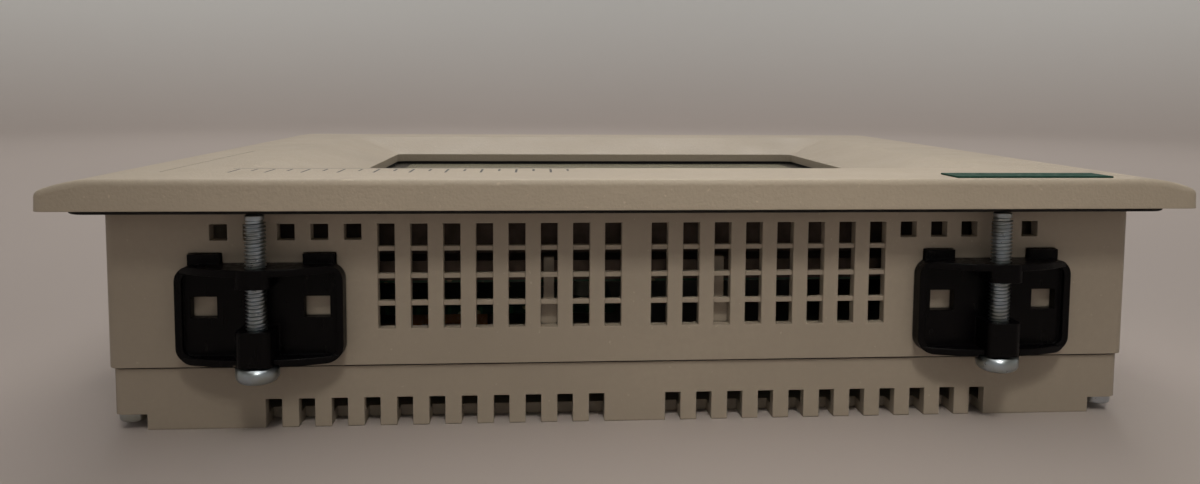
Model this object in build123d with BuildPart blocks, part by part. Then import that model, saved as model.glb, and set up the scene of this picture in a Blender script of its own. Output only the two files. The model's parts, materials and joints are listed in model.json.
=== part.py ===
from build123d import *
import os

os.makedirs("parts", exist_ok=True)

# Panel-mounted touch panel, lying on its rear cover with the front facing up.
# Millimetres. +Z points out of the front, z = 0 is the back of the rear cover, X runs along
# the width, and the panel's top edge faces -Y. Left and right are as the user sees the front
# with its top edge up, so left is +X.

# ---- Driving dimensions ----
total_height = 48.0
bezel_width, bezel_depth, bezel_thickness = 214.0, 156.0, 5.6
housing_width, housing_depth, housing_wall = 197.0, 140.0, 2.4
cover_width, cover_depth, cover_height = 195.9, 138.8, 11.7
seam_gap = 0.3
cover_wall = 2.2
fit_gap = 0.3

rear_plane = total_height - bezel_thickness      # rear face of the bezel, front end of the housing
housing_base = cover_height + seam_gap
wall_y = housing_depth / 2                       # outer face of the top and bottom side walls
wall_inner_y = wall_y - housing_wall
wall_inner_x = housing_width / 2 - housing_wall

# Display opening in the bezel, set towards the top edge, in a shallow dish.
opening_width, opening_depth = 125.0, 96.0
opening_center_y = -3.5
dish_depth = 4.6
dish_side_run, dish_bottom_run, dish_top_run = 15.0, 15.0, 1.5
opening_rim = total_height - dish_depth
opening_corner_radius = 2.5
dish_corner_radius, dish_rim_radius = 5.5, 3.0
frame_border = 7.0                               # display frame, all round the opening
frame_drop = 1.2                                 # how far it stands behind the bezel
frame_rear = rear_plane - frame_drop
gasket_thickness, gasket_border, gasket_setback = 0.6, 4.5, 0.2

# Ventilation: one pitch for the slots of the housing and the comb of the rear cover.
vent_pitch = 6.11
vent_width = 3.2
vent_first = 4.46
tall_columns = 8
vent_top = 38.9
vent_bottom = 18.9
square_count = 5
square_height = 3.0
vent_rib_height, vent_rib_depth, vent_rib_recess = 0.9, 1.2, 0.5
comb_first, comb_count, comb_width, comb_height, comb_depth = 7.44, 11, 3.0, 5.5, 5.0

# Mounting clamps, two on the top side and two on the bottom side.
clamp_x = 69.8
clamp_width, clamp_low, clamp_high = 30.2, 13.5, 31.7
clamp_web, clamp_rim = 1.9, 1.3
hook_x, hook_width, hook_low, hook_high, hook_tip_low = 10.4, 5.7, 26.3, 30.2, 23.4
hook_thickness = 1.8
hook_tab, hook_tab_high = 1.2, 33.5               # outside the wall, in front of the slot
slot_width, slot_low, slot_high = 6.1, 26.2, 33.6
screw_out = 4.3                                  # screw axis, out from the housing wall
screw_radius = 1.95                              # M4
screw_head_radius, screw_head_height = 3.85, 2.8
screw_head_face = 13.5                           # underside of the head
screw_tip = 40.3
pad_face = 41.3

# Seal between the bezel and the cabinet door.
seal_width, seal_depth, seal_strip, seal_height, seal_proud = 206.6, 150.0, 2.0, 2.0, 1.0
seal_corner_radius, seal_edge_radius = 4.0, 0.4

# Small hardware.
m3_radius, m3_tap_radius, m3_clear_radius = 1.25, 1.3, 1.7
m3_head_radius, m3_head_height = 2.75, 2.0
m3_cross_length, m3_cross_width = 2.6, 0.6
m4_cross_length, m4_cross_width = 4.2, 0.9

# Stack inside the housing, from the front to the back.
film_thickness, glass_thickness, glass_corner = 0.2, 1.6, 0.8
sensor_width, sensor_depth = 136.0, 107.0
sensor_front = frame_rear - gasket_thickness
glass_rear = sensor_front - film_thickness - glass_thickness
lcd_width, lcd_depth, lcd_height, lcd_sheet = 146.0, 106.0, 8.0, 0.8
lcd_window_width, lcd_window_depth = 120.0, 91.0
stack_gap = 0.1
lcd_front = glass_rear - stack_gap
lcd_rear = lcd_front - lcd_height
carrier_thickness = 1.0
carrier_front = lcd_rear - stack_gap
carrier_rear = carrier_front - carrier_thickness
standoff_height = 3.0
board_thickness = 1.6
board_front = carrier_rear - standoff_height
board_rear = board_front - board_thickness


def mirrored(x, y):
    """The four places at plus and minus x and y."""
    return [(sx * x, sy * y) for sy in (-1, 1) for sx in (-1, 1)]


carrier_screw_places = mirrored(82, 58)
standoff_places = mirrored(76, 44)
housing_screw_y = 25.0
housing_screw_places = mirrored(91.2, housing_screw_y)
cover_screw_places = mirrored(95.1, 66.7)

vent_columns = [vent_first + vent_pitch * k for k in range(tall_columns)]
square_columns = [vent_first + vent_pitch * (tall_columns + k) for k in range(square_count)]
comb_columns = [comb_first + vent_pitch * k for k in range(comb_count)]
both_sides = (-1, 1)


# ---- Front bezel ----
bevel_run, bevel_rise = 11.3, 2.4
bezel_corner_radius, bezel_edge_radius, bezel_draft = 2.5, 1.2, 2.0
label_width, label_depth, label_pocket, label_proud = 30.7, 7.0, 0.15, 0.3
label_center = (75.4, -72.0)
print_thickness = 0.1
print_left, print_right = -79.4, -11.2
print_line_y, print_line_width = -56.0, 0.4
tick_count, tick_width, tick_long, tick_short, tick_gap = 20, 0.45, 7.0, 4.0, 1.4
line_x, line_start, line_end, line_width, line_depth = -90.6, -63.6, -6.6, 0.25, 0.15
carrier_post_radius = 3.2
lug_screw_depth = 4.0


def print_marks():
    """Plain hairline with a row of tick marks under it, in place of any lettering."""
    with Locations(((print_left + print_right) / 2, print_line_y)):
        Rectangle(print_right - print_left, print_line_width)
    step = (print_right - print_left) / tick_count
    for k in range(tick_count):
        length = tick_long if k % 2 == 0 else tick_short
        with Locations((print_left + step * (k + 0.5), print_line_y - tick_gap - length / 2)):
            Rectangle(tick_width, length)


def seal_ring():
    """Plan of the seal: a closed strip along the edge of the bezel."""
    RectangleRounded(seal_width, seal_depth, seal_corner_radius)
    RectangleRounded(
        seal_width - 2 * seal_strip,
        seal_depth - 2 * seal_strip,
        seal_corner_radius - seal_strip,
        mode=Mode.SUBTRACT,
    )


with BuildPart() as front_bezel:
    with BuildSketch(Plane.XZ) as bezel_section:
        with BuildLine():
            side_top = total_height - bevel_rise
            flat_x = bezel_width / 2 - bevel_run
            Line((-bezel_width / 2, rear_plane), (bezel_width / 2, rear_plane))
            Line((bezel_width / 2, rear_plane), (bezel_width / 2, side_top))
            Line((flat_x, total_height), (-flat_x, total_height))
            TangentArc((flat_x, total_height), (bezel_width / 2, side_top), tangent=(1, 0))
            TangentArc((-flat_x, total_height), (-bezel_width / 2, side_top), tangent=(-1, 0))
            Line((-bezel_width / 2, side_top), (-bezel_width / 2, rear_plane))
        make_face()
    extrude(amount=bezel_depth / 2, both=True)
    with BuildSketch(Plane.XY.offset(rear_plane)):
        RectangleRounded(bezel_width, bezel_depth, bezel_corner_radius)
    extrude(amount=bezel_thickness, taper=bezel_draft, mode=Mode.INTERSECT)
    front_edges = front_bezel.edges().filter_by(Axis.X).group_by(Axis.Z)[-1]
    fillet(front_edges, bezel_edge_radius)

    # Dish: four sloping sides down to the rim of the display opening.
    with BuildSketch(Plane.XY.offset(opening_rim)):
        with Locations((0, opening_center_y)):
            RectangleRounded(opening_width, opening_depth, opening_corner_radius)
    with BuildSketch(Plane.XY.offset(total_height)):
        dish_center_y = opening_center_y + (dish_bottom_run - dish_top_run) / 2
        dish_half = opening_width / 2 + dish_side_run
        with Locations((0, dish_center_y)):
            RectangleRounded(
                opening_width + 2 * dish_side_run,
                opening_depth + dish_bottom_run + dish_top_run,
                dish_corner_radius,
            )
    loft(ruled=True, mode=Mode.SUBTRACT)
    dish_edges = front_bezel.edges().filter_by_position(Axis.Z, total_height, total_height)
    dish_edges = dish_edges.filter_by_position(Axis.X, -dish_half, dish_half)
    dish_edges = dish_edges.filter_by_position(Axis.Y, dish_center_y - dish_half, dish_center_y + dish_half)
    fillet(dish_edges, dish_rim_radius)

    # Display frame behind the bezel, and the opening through both.
    with BuildSketch(Plane.XY.offset(frame_rear)):
        with Locations((0, opening_center_y)):
            RectangleRounded(
                opening_width + 2 * frame_border, opening_depth + 2 * frame_border, 4
            )
    extrude(amount=frame_drop)
    with BuildSketch(Plane.XY.offset(frame_rear)):
        with Locations((0, opening_center_y)):
            RectangleRounded(opening_width, opening_depth, opening_corner_radius)
    extrude(amount=total_height - frame_rear, mode=Mode.SUBTRACT)

    # Groove for the seal.
    with BuildSketch(Plane.XY.offset(rear_plane)):
        seal_ring()
    extrude(amount=seal_height - seal_proud, mode=Mode.SUBTRACT)

    # Posts for the carrier plate, with their screw holes.
    with BuildSketch(Plane.XY.offset(carrier_front)):
        with Locations(*carrier_screw_places):
            Circle(carrier_post_radius)
            Circle(m3_tap_radius, mode=Mode.SUBTRACT)
    extrude(amount=rear_plane - carrier_front)
    with BuildSketch(Plane.XY.offset(rear_plane)):
        with Locations(*housing_screw_places):
            Circle(m3_tap_radius)
    extrude(amount=lug_screw_depth, mode=Mode.SUBTRACT)

    # Shallow pockets for the label and the printed marks, and the fine line beside them.
    with BuildSketch(Plane.XY.offset(total_height)):
        with Locations(label_center):
            Rectangle(label_width, label_depth)
    extrude(amount=-label_pocket, mode=Mode.SUBTRACT)
    with BuildSketch(Plane.XY.offset(total_height)):
        print_marks()
    extrude(amount=-print_thickness, mode=Mode.SUBTRACT)
    with BuildSketch(Plane.XY.offset(total_height)):
        with Locations((line_x, (line_start + line_end) / 2)):
            Rectangle(line_width, line_end - line_start)
    extrude(amount=-line_depth, mode=Mode.SUBTRACT)
front_bezel.part.label = "front_bezel"
export_step(front_bezel.part, "parts/front_bezel.step")

with BuildPart() as front_label:
    with BuildSketch(Plane.XY.offset(total_height - label_pocket)):
        with Locations(label_center):
            Rectangle(label_width, label_depth)
    extrude(amount=label_pocket + label_proud)
front_label.part.label = "front_label"
export_step(front_label.part, "parts/front_label.step")

with BuildPart() as front_print:
    with BuildSketch(Plane.XY.offset(total_height)):
        print_marks()
    extrude(amount=-print_thickness)
front_print.part.label = "front_print"
export_step(front_print.part, "parts/front_print.step")

with BuildPart() as bezel_seal:
    with BuildSketch(Plane.XY.offset(rear_plane - seal_proud)):
        seal_ring()
    extrude(amount=seal_height)
    fillet(bezel_seal.edges().group_by(Axis.Z)[0], seal_edge_radius)
bezel_seal.part.label = "bezel_seal"
export_step(bezel_seal.part, "parts/bezel_seal.step")


# ---- Touch sensor and display module ----
with BuildPart() as display_gasket:
    with BuildSketch(Plane.XY.offset(sensor_front)):
        with Locations((0, opening_center_y)):
            Rectangle(opening_width + 2 * gasket_border, opening_depth + 2 * gasket_border)
            RectangleRounded(
                opening_width + 2 * gasket_setback,
                opening_depth + 2 * gasket_setback,
                opening_corner_radius,
                mode=Mode.SUBTRACT,
            )
    extrude(amount=gasket_thickness)
display_gasket.part.label = "display_gasket"
export_step(display_gasket.part, "parts/display_gasket.step")

with BuildPart() as touch_film:
    with BuildSketch(Plane.XY.offset(sensor_front)):
        with Locations((0, opening_center_y)):
            Rectangle(sensor_width, sensor_depth)
    extrude(amount=-film_thickness)
touch_film.part.label = "touch_film"
export_step(touch_film.part, "parts/touch_film.step")

with BuildPart() as touch_glass:
    with BuildSketch(Plane.XY.offset(glass_rear)):
        with Locations((0, opening_center_y)):
            Rectangle(sensor_width, sensor_depth)
    extrude(amount=glass_thickness)
    chamfer(touch_glass.edges().filter_by(Axis.Z), glass_corner)
touch_glass.part.label = "touch_glass"
export_step(touch_glass.part, "parts/touch_glass.step")

with BuildPart() as lcd_frame:
    with BuildSketch(Plane.XY.offset(lcd_rear)):
        with Locations((0, opening_center_y)):
            RectangleRounded(lcd_width, lcd_depth, 1)
    extrude(amount=lcd_height)
    with BuildSketch(Plane.XY.offset(lcd_rear)):
        with Locations((0, opening_center_y)):
            Rectangle(lcd_width - 2 * lcd_sheet, lcd_depth - 2 * lcd_sheet)
    extrude(amount=lcd_height - lcd_sheet, mode=Mode.SUBTRACT)
    with BuildSketch(Plane.XY.offset(lcd_front)):
        with Locations((0, opening_center_y)):
            Rectangle(lcd_window_width, lcd_window_depth)
    extrude(amount=-lcd_sheet, mode=Mode.SUBTRACT)
lcd_frame.part.label = "lcd_frame"
export_step(lcd_frame.part, "parts/lcd_frame.step")

cell_front = lcd_front - lcd_sheet
cell_thickness = 2.2
tray_front = cell_front - cell_thickness - stack_gap
tray_rear = lcd_rear + 2 * stack_gap
tray_border = 2.0                                # from the edge of the display to the edge of the tray
tray_width, tray_depth = lcd_width - 2 * tray_border, lcd_depth - 2 * tray_border
lamp_radius = 1.2
trough_width, trough_depth = 3.4, 3.6
lamp_y = opening_center_y - tray_depth / 2 + 3
lamp_z = tray_front - trough_depth / 2
lamp_end_gap = 4.0

with BuildPart() as lcd_cell:
    with BuildSketch(Plane.XY.offset(cell_front)):
        with Locations((0, opening_center_y)):
            Rectangle(tray_width, tray_depth)
    extrude(amount=-cell_thickness)
lcd_cell.part.label = "lcd_cell"
export_step(lcd_cell.part, "parts/lcd_cell.step")

with BuildPart() as backlight_tray:
    with BuildSketch(Plane.XY.offset(tray_rear)):
        with Locations((0, opening_center_y)):
            Rectangle(tray_width, tray_depth)
    extrude(amount=tray_front - tray_rear)
    with BuildSketch(Plane.XY.offset(tray_front)):
        with Locations((0, lamp_y)):
            Rectangle(tray_width - lamp_end_gap, trough_width)
    extrude(amount=-trough_depth, mode=Mode.SUBTRACT)
backlight_tray.part.label = "backlight_tray"
export_step(backlight_tray.part, "parts/backlight_tray.step")

with BuildPart() as backlight_lamp:
    with BuildSketch(Plane.YZ.offset(-tray_width / 2 + lamp_end_gap)):
        with Locations((lamp_y, lamp_z)):
            Circle(lamp_radius)
    extrude(amount=tray_width - 2 * lamp_end_gap)
backlight_lamp.part.label = "backlight_lamp"
export_step(backlight_lamp.part, "parts/backlight_lamp.step")

# The sensor's flat tail runs over the display's edge and through a slot of the carrier plate.
tail_y, tail_width, tail_thickness = 20.0, 10.0, 0.3
tail_x = 76.0
tail_in_x = 70.0
tail_front = sensor_front - film_thickness - glass_thickness / 2
tail_rear = board_front + 1.0
tail_bend = 1.2
socket_depth, socket_height = 5.0, 1.8

with BuildPart() as touch_tail:
    with BuildSketch(Plane.XZ.offset(-tail_y)):
        with BuildLine() as tail_route:
            FilletPolyline(
                (sensor_width / 2 + tail_thickness, tail_front),
                (tail_x, tail_front),
                (tail_x, tail_rear),
                (tail_in_x + tail_thickness, tail_rear),
                radius=tail_bend,
            )
            offset(amount=tail_thickness / 2, side=Side.BOTH, closed=True)
        make_face()
    extrude(amount=tail_width / 2, both=True)
touch_tail.part.label = "touch_tail"
export_step(touch_tail.part, "parts/touch_tail.step")

with BuildPart() as tail_socket:
    with BuildSketch(Plane.XY.offset(board_front)):
        with Locations((tail_in_x - socket_depth / 2, tail_y)):
            Rectangle(socket_depth, tail_width + 4)
    extrude(amount=socket_height)
tail_socket.part.label = "tail_socket"
export_step(tail_socket.part, "parts/tail_socket.step")


# ---- Carrier plate, main board and what stands on it ----
carrier_width, carrier_depth, carrier_flange = 174.0, 128.0, 2.8
carrier_corner_radius = 3.0
tail_slot_width, tail_slot_length = 3.5, 16.0
relief_pitch, relief_length, relief_width = 46.0, 30.0, 12.0

with BuildPart() as carrier_plate:
    with BuildSketch(Plane.XY.offset(carrier_rear)):
        RectangleRounded(carrier_width, carrier_depth, carrier_corner_radius)
        with Locations(*carrier_screw_places):
            Circle(m3_clear_radius, mode=Mode.SUBTRACT)
        with Locations((tail_x, tail_y)):
            Rectangle(tail_slot_width, tail_slot_length, mode=Mode.SUBTRACT)
        with GridLocations(relief_pitch, 0, 3, 1):
            SlotOverall(relief_length, relief_width, mode=Mode.SUBTRACT)
    extrude(amount=carrier_thickness)
    with BuildSketch(Plane.XY.offset(carrier_rear)):
        with GridLocations(0, carrier_depth - carrier_thickness, 1, 2):
            Rectangle(carrier_width - 30, carrier_thickness)
    extrude(amount=-carrier_flange)
carrier_plate.part.label = "carrier_plate"
export_step(carrier_plate.part, "parts/carrier_plate.step")

carrier_screw_length, board_screw_length, housing_screw_length = 8.0, 4.0, 7.5
standoff_hex_radius = 2.9


def pan_screws(places, face_z, length):
    """M3 pan-head screws pointing up, with the underside of the head at face_z."""
    with BuildPart() as screws:
        with BuildSketch(Plane.XY.offset(face_z)):
            with Locations(*places):
                Circle(m3_head_radius)
        extrude(amount=-m3_head_height)
        with BuildSketch(Plane.XY.offset(face_z)):
            with Locations(*places):
                Circle(m3_radius)
        extrude(amount=length)
        with BuildSketch(Plane.XY.offset(face_z - m3_head_height)):
            with Locations(*places):
                Rectangle(m3_cross_length, m3_cross_width)
                Rectangle(m3_cross_width, m3_cross_length)
        extrude(amount=m3_head_height / 2, mode=Mode.SUBTRACT)
    return screws


carrier_screws = pan_screws(carrier_screw_places, carrier_rear, carrier_screw_length)
carrier_screws.part.label = "carrier_screws"
export_step(carrier_screws.part, "parts/carrier_screws.step")

with BuildPart() as board_standoffs:
    with BuildSketch(Plane.XY.offset(board_front)):
        with Locations(*standoff_places):
            RegularPolygon(standoff_hex_radius, 6)
            Circle(m3_tap_radius, mode=Mode.SUBTRACT)
    extrude(amount=standoff_height)
board_standoffs.part.label = "board_standoffs"
export_step(board_standoffs.part, "parts/board_standoffs.step")

board_width, board_depth, board_center_y = 168.0, 120.0, 2.0
processor_place, processor_size, processor_height = (12, -6), 27.0, 2.4
memory_places = [(44, -16), (44, 6), (66, -16)]
memory_width, memory_depth, memory_height = 12.0, 18.0, 1.2
capacitor_places = [(-52, 38), (-52, 26), (-64, 32)]
capacitor_radius, capacitor_height, capacitor_edge = 4.0, 10.5, 0.6
inductor_place, inductor_size, inductor_corner, inductor_height = (-34, 36), 12.0, 3.0, 6.0

with BuildPart() as main_board:
    with BuildSketch(Plane.XY.offset(board_rear)):
        with Locations((0, board_center_y)):
            Rectangle(board_width, board_depth)
        with Locations(*standoff_places):
            Circle(m3_clear_radius, mode=Mode.SUBTRACT)
    extrude(amount=board_thickness)
main_board.part.label = "main_board"
export_step(main_board.part, "parts/main_board.step")

board_screws = pan_screws(standoff_places, board_rear, board_screw_length)
board_screws.part.label = "board_screws"
export_step(board_screws.part, "parts/board_screws.step")

with BuildPart() as processor:
    with BuildSketch(Plane.XY.offset(board_rear)):
        with Locations(processor_place):
            Rectangle(processor_size, processor_size)
    extrude(amount=-processor_height)
processor.part.label = "processor"
export_step(processor.part, "parts/processor.step")

with BuildPart() as memory_chips:
    with BuildSketch(Plane.XY.offset(board_rear)):
        with Locations(*memory_places):
            Rectangle(memory_width, memory_depth)
    extrude(amount=-memory_height)
memory_chips.part.label = "memory_chips"
export_step(memory_chips.part, "parts/memory_chips.step")

with BuildPart() as supply_capacitors:
    with BuildSketch(Plane.XY.offset(board_rear)):
        with Locations(*capacitor_places):
            Circle(capacitor_radius)
    extrude(amount=-capacitor_height)
    fillet(supply_capacitors.edges().group_by(Axis.Z)[0], capacitor_edge)
supply_capacitors.part.label = "supply_capacitors"
export_step(supply_capacitors.part, "parts/supply_capacitors.step")

with BuildPart() as supply_inductor:
    with BuildSketch(Plane.XY.offset(board_rear)):
        with Locations(inductor_place):
            RectangleRounded(inductor_size, inductor_size, inductor_corner)
    extrude(amount=-inductor_height)
supply_inductor.part.label = "supply_inductor"
export_step(supply_inductor.part, "parts/supply_inductor.step")

# Lamp inverter on two spacers behind the main board.
inverter_center = (-40.0, -34.0)
inverter_width, inverter_depth, inverter_front = 76.0, 24.0, 17.0
spacer_x, spacer_radius = 32.0, 3.0
spacer_places = [(inverter_center[0] + s * spacer_x, inverter_center[1]) for s in both_sides]
transformer_width, transformer_depth, transformer_height = 20.0, 14.0, 6.5
winding_width, winding_height, winding_drop = 9.0, 3.2, 5.0

with BuildPart() as inverter_board:
    with BuildSketch(Plane.XY.offset(inverter_front - board_thickness)):
        with Locations(inverter_center):
            Rectangle(inverter_width, inverter_depth)
        with Locations(*spacer_places):
            Circle(m3_tap_radius, mode=Mode.SUBTRACT)
    extrude(amount=board_thickness)
inverter_board.part.label = "inverter_board"
export_step(inverter_board.part, "parts/inverter_board.step")

with BuildPart() as inverter_spacers:
    with BuildSketch(Plane.XY.offset(inverter_front)):
        with Locations(*spacer_places):
            Circle(spacer_radius)
    extrude(amount=board_rear - inverter_front)
inverter_spacers.part.label = "inverter_spacers"
export_step(inverter_spacers.part, "parts/inverter_spacers.step")

with BuildPart() as inverter_transformer:
    with BuildSketch(Plane.XY.offset(inverter_front - board_thickness)):
        with Locations(inverter_center):
            Rectangle(transformer_width, transformer_depth)
    extrude(amount=-transformer_height)
    with BuildSketch(Plane.XZ.offset(-inverter_center[1])):
        with Locations((inverter_center[0], inverter_front - board_thickness - winding_drop)):
            Rectangle(winding_width, winding_height)
    extrude(amount=transformer_depth / 2, both=True, mode=Mode.SUBTRACT)
inverter_transformer.part.label = "inverter_transformer"
export_step(inverter_transformer.part, "parts/inverter_transformer.step")


# ---- Connections on the bottom side ----
terminal_x, terminal_width, terminal_height, terminal_depth = -34.0, 12.6, 8.6, 12.4
terminal_wall, terminal_back, pin_size, pin_length, pin_spacing = 1.1, 3.0, 1.0, 6.4, 5.08
serial_x = 20.0
serial_z = board_rear - 6.3
flange_width, flange_height, flange_thickness = 30.8, 12.4, 0.8
flange_face = wall_inner_y
serial_reach = 5.9
shell_width, shell_height, shell_sheet, shell_slope = 16.9, 8.4, 0.4, 0.176
insert_gap, insert_setback = 0.05, 0.3
insert_width, insert_height, insert_depth = 19.0, 11.0, 9.0
contact_pitch, contact_row, contact_radius, contact_depth = 2.77, 1.42, 0.6, 6.0
jackpost_spacing, jackpost_length, jackpost_tap, jackpost_hex_radius = 24.99, 5.0, 1.2, 2.75
stud_radius, stud_length, stud_gap = 1.45, 4.0, 0.15

with BuildPart() as power_terminal:
    with BuildSketch(Plane.XZ.offset(-wall_y)):
        with Locations((terminal_x, board_rear - terminal_height / 2)):
            Rectangle(terminal_width, terminal_height)
    extrude(amount=terminal_depth)
    with BuildSketch(Plane.XZ.offset(-wall_y)):
        with Locations((terminal_x, board_rear - terminal_height / 2)):
            Rectangle(terminal_width - 2 * terminal_wall, terminal_height - 2 * terminal_wall)
    extrude(amount=terminal_depth - terminal_back, mode=Mode.SUBTRACT)
power_terminal.part.label = "power_terminal"
export_step(power_terminal.part, "parts/power_terminal.step")

with BuildPart() as power_pins:
    with BuildSketch(Plane.XZ.offset(-(wall_y - terminal_depth + terminal_back))):
        with Locations((terminal_x, board_rear - terminal_height / 2)):
            with GridLocations(pin_spacing, 0, 2, 1):
                Rectangle(pin_size, pin_size)
    extrude(amount=-pin_length)
power_pins.part.label = "power_pins"
export_step(power_pins.part, "parts/power_pins.step")


def d_outline(width, height):
    """Outline of a D-shaped connector, wide side up."""
    slant = height * shell_slope
    with BuildSketch() as outline:
        with BuildLine():
            FilletPolyline(
                (-width / 2, height / 2),
                (width / 2, height / 2),
                (width / 2 - slant, -height / 2),
                (-width / 2 + slant, -height / 2),
                radius=1.6,
                close=True,
            )
        make_face()
    return outline.sketch


serial_plane = Plane(origin=(serial_x, flange_face, serial_z), x_dir=(-1, 0, 0), z_dir=(0, 1, 0))

with BuildPart() as serial_shell:
    with BuildSketch(serial_plane.offset(-flange_thickness)):
        RectangleRounded(flange_width, flange_height, 1)
        with GridLocations(jackpost_spacing, 0, 2, 1):
            Circle(stud_radius + stud_gap, mode=Mode.SUBTRACT)
    extrude(amount=flange_thickness)
    with BuildSketch(serial_plane):
        add(d_outline(shell_width, shell_height))
    extrude(amount=serial_reach)
    with BuildSketch(serial_plane.offset(-flange_thickness)):
        add(d_outline(shell_width - 2 * shell_sheet, shell_height - 2 * shell_sheet))
    extrude(amount=serial_reach + flange_thickness, mode=Mode.SUBTRACT)
serial_shell.part.label = "serial_shell"
export_step(serial_shell.part, "parts/serial_shell.step")

with BuildPart() as serial_insert:
    with BuildSketch(serial_plane.offset(-flange_thickness)):
        RectangleRounded(insert_width, insert_height, 1)
    extrude(amount=-insert_depth)
    with BuildSketch(serial_plane.offset(-flange_thickness)):
        inset = 2 * (shell_sheet + insert_gap)
        add(d_outline(shell_width - inset, shell_height - inset))
    extrude(amount=serial_reach + flange_thickness - insert_setback)
    with BuildSketch(serial_plane.offset(serial_reach - insert_setback)):
        with Locations((0, contact_row)):
            with GridLocations(contact_pitch, 0, 5, 1):
                Circle(contact_radius)
        with Locations((0, -contact_row)):
            with GridLocations(contact_pitch, 0, 4, 1):
                Circle(contact_radius)
    extrude(amount=-contact_depth, mode=Mode.SUBTRACT)
serial_insert.part.label = "serial_insert"
export_step(serial_insert.part, "parts/serial_insert.step")

with BuildPart() as serial_jackposts:
    with BuildSketch(serial_plane):
        with GridLocations(jackpost_spacing, 0, 2, 1):
            RegularPolygon(jackpost_hex_radius, 6)
    extrude(amount=jackpost_length)
    with BuildSketch(serial_plane.offset(-stud_length)):
        with GridLocations(jackpost_spacing, 0, 2, 1):
            Circle(stud_radius)
    extrude(amount=stud_length)
    with BuildSketch(serial_plane):
        with GridLocations(jackpost_spacing, 0, 2, 1):
            Circle(jackpost_tap)
    extrude(amount=jackpost_length, mode=Mode.SUBTRACT)
serial_jackposts.part.label = "serial_jackposts"
export_step(serial_jackposts.part, "parts/serial_jackposts.step")

# Earth screw through the bottom wall, with its washer and nut.
earth_plane = Plane(origin=(46.5, wall_y, 20), x_dir=(-1, 0, 0), z_dir=(0, 1, 0))
earth_washer_radius, earth_washer_thickness = 4.5, 0.8
earth_head_height, earth_head_edge, earth_cross_depth = 2.6, 1.0, 1.4
earth_thread_length = 7.6
earth_nut_radius, earth_nut_height, earth_nut_bore = 4.04, 3.2, 2.0
earth_clear_radius = 2.15

with BuildPart() as earth_washer:
    with BuildSketch(earth_plane):
        Circle(earth_washer_radius)
        Circle(earth_clear_radius, mode=Mode.SUBTRACT)
    extrude(amount=earth_washer_thickness)
earth_washer.part.label = "earth_washer"
export_step(earth_washer.part, "parts/earth_washer.step")

with BuildPart() as earth_screw:
    with BuildSketch(earth_plane.offset(earth_washer_thickness)):
        Circle(screw_head_radius)
    extrude(amount=earth_head_height)
    fillet(earth_screw.edges().group_by(Axis.Y)[-1], earth_head_edge)
    with BuildSketch(earth_plane.offset(earth_washer_thickness + earth_head_height)):
        Rectangle(m4_cross_length, m4_cross_width)
        Rectangle(m4_cross_width, m4_cross_length)
    extrude(amount=-earth_cross_depth, mode=Mode.SUBTRACT)
    with BuildSketch(earth_plane.offset(earth_washer_thickness)):
        Circle(screw_radius)
    extrude(amount=-earth_thread_length)
earth_screw.part.label = "earth_screw"
export_step(earth_screw.part, "parts/earth_screw.step")

with BuildPart() as earth_nut:
    with BuildSketch(earth_plane.offset(-housing_wall)):
        RegularPolygon(earth_nut_radius, 6)
        Circle(earth_nut_bore, mode=Mode.SUBTRACT)
    extrude(amount=-earth_nut_height)
earth_nut.part.label = "earth_nut"
export_step(earth_nut.part, "parts/earth_nut.step")


# ---- Housing ----
column_size, column_top, column_bore = 8.0, 28.0, 12.0
column_x, column_y = wall_inner_x - 3.5, wall_inner_y - 3.5
lug_depth, lug_length, lug_height = 7.6, 9.0, 4.0
lug_x = wall_inner_x + 0.5 - lug_depth / 2
vent_row_step = 5.0


def wall_plane(side):
    """Outer face of the top side wall (side -1) or the bottom side wall (side 1), x to +X."""
    return Plane.XZ.offset(-side * wall_y)


def vent_squares(columns, top):
    """Square vents under the line z = top, on both halves of a wall."""
    for column in columns:
        with Locations((-column, top - square_height / 2), (column, top - square_height / 2)):
            Rectangle(vent_width, square_height)


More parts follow.
